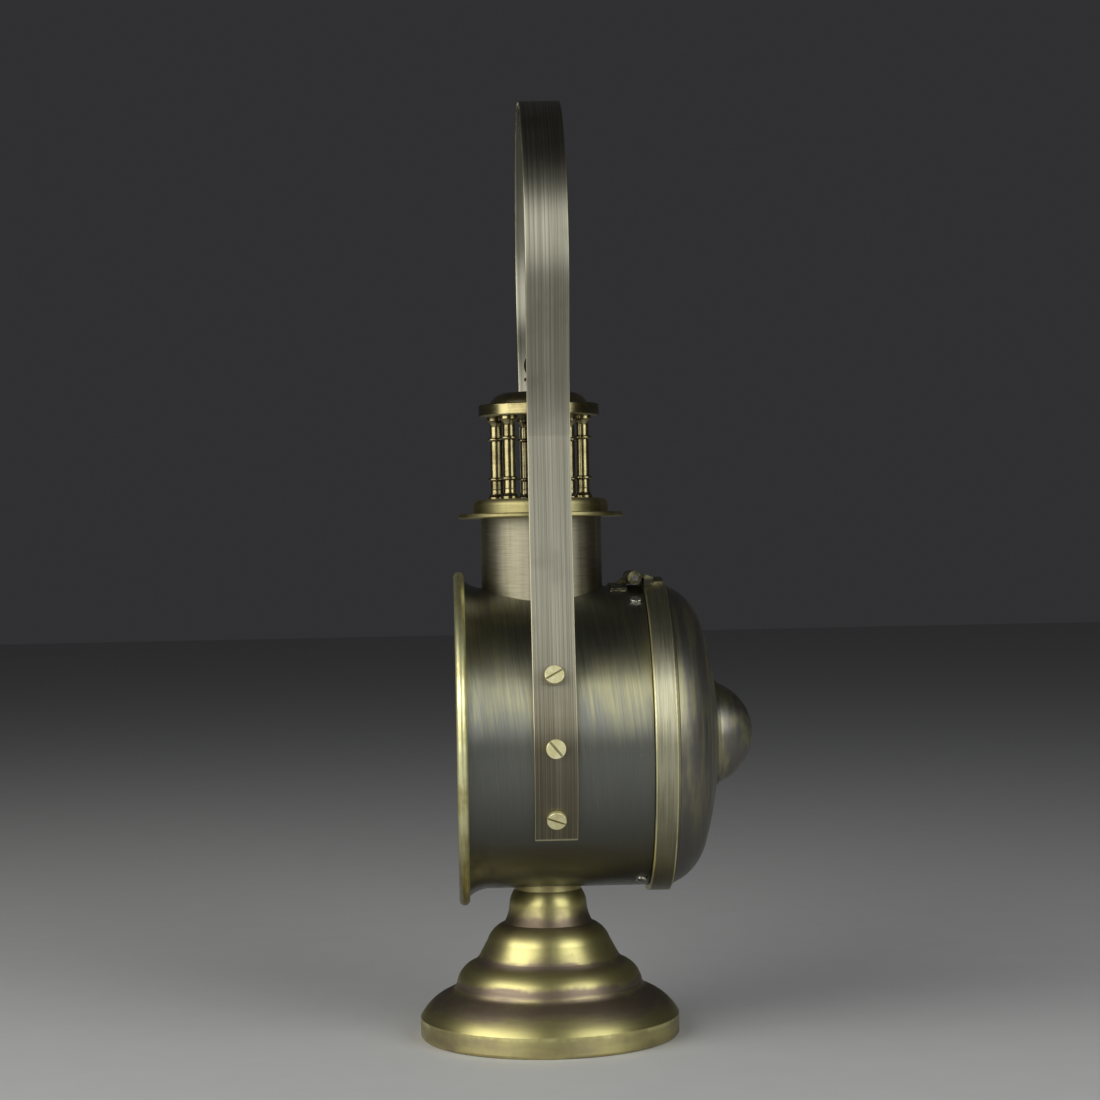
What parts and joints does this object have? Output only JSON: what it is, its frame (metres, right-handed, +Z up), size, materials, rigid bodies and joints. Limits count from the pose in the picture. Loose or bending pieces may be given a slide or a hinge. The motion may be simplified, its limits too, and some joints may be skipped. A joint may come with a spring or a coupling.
{
  "type": "candle lantern",
  "caption": "Antique brass candle lantern: horizontal drum with bell mouth and hinged rear cover on a spun pedestal, chimney with turned columns, tall strap handle.",
  "frame": {"origin": "centre of the foot's underside, on the surface that the lantern stands on", "axes": "+Z up; -Y out of the bell mouth, through the glass; +Y out of the rear cover; the handle's legs are at +X and -X"},
  "size_m": [0.154, 0.1566, 0.432],
  "materials": {
    "base_brass": "antique brass, worn and circumferentially brushed",
    "drum_brass": "dark antique bronze patina, brushed round the drum",
    "rim_brass": "worn yellow brass",
    "band_brass": "olive antique brass with bright edges",
    "cover_bronze": "warm brown bronze patina",
    "hinge_brass": "antique brass with solder",
    "strap_brass": "grey brass, brushed along the strap",
    "chimney_brass": "satin brushed antique brass",
    "crown_brass": "polished antique brass",
    "screw_brass": "clean bright brass",
    "steel": "plated steel",
    "reflector_plate": "polished nickel plate",
    "clear_glass": "clear flat glass",
    "wax": "ivory candle wax",
    "cotton": "braided cotton wick"
  },
  "bodies": {
    "lantern": {"base_pedestal": "base_brass", "base_neck": "base_brass", "tie_rod": "steel", "base_washer": "steel", "base_nut": "steel", "drum_body": "drum_brass", "front_rim_bead": "rim_brass", "front_glass": "clear_glass", "glass_seat_ring": "drum_brass", "glass_clip": "steel", "rear_spigot_ring": "drum_brass", "rear_ring_screws": "steel", "hinge_leaf_fixed": "hinge_brass", "hinge_pin": "steel", "handle_strap": "strap_brass", "handle_screws": "screw_brass", "handle_nuts": "screw_brass", "handle_spacers": "screw_brass", "chimney_tube": "chimney_brass", "chimney_flange": "chimney_brass", "chimney_collar": "chimney_brass", "cap_rim": "crown_brass", "cap_dome": "crown_brass", "finial": "crown_brass", "cap_nut": "screw_brass", "candle_post": "screw_brass", "candle_cup": "chimney_brass", "cup_nut": "screw_brass", "baluster_1": "crown_brass", "baluster_2": "crown_brass", "baluster_3": "crown_brass", "baluster_4": "crown_brass", "baluster_5": "crown_brass", "baluster_6": "crown_brass"},
    "rear_cover": {"rear_cover_dome": "cover_bronze", "rear_cover_band": "band_brass", "hinge_leaf_moving": "hinge_brass", "rear_boss": "cover_bronze", "boss_stud": "steel", "reflector": "reflector_plate", "reflector_bush": "screw_brass", "boss_nut": "screw_brass"},
    "candle_stub": {"candle": "wax", "wick": "cotton"}
  },
  "joints": [
    {"name": "rear_cover_hinge", "type": "hinge", "parent": "lantern", "child": "rear_cover", "pos_m": [0, 0.042, 0.211], "axis": [1, 0, 0], "range_deg": [0, 100]},
    {"name": "candle_lift", "type": "slide", "parent": "lantern", "child": "candle_stub", "axis": [0, 0, 1], "range_m": [0, 0.03]}
  ]
}
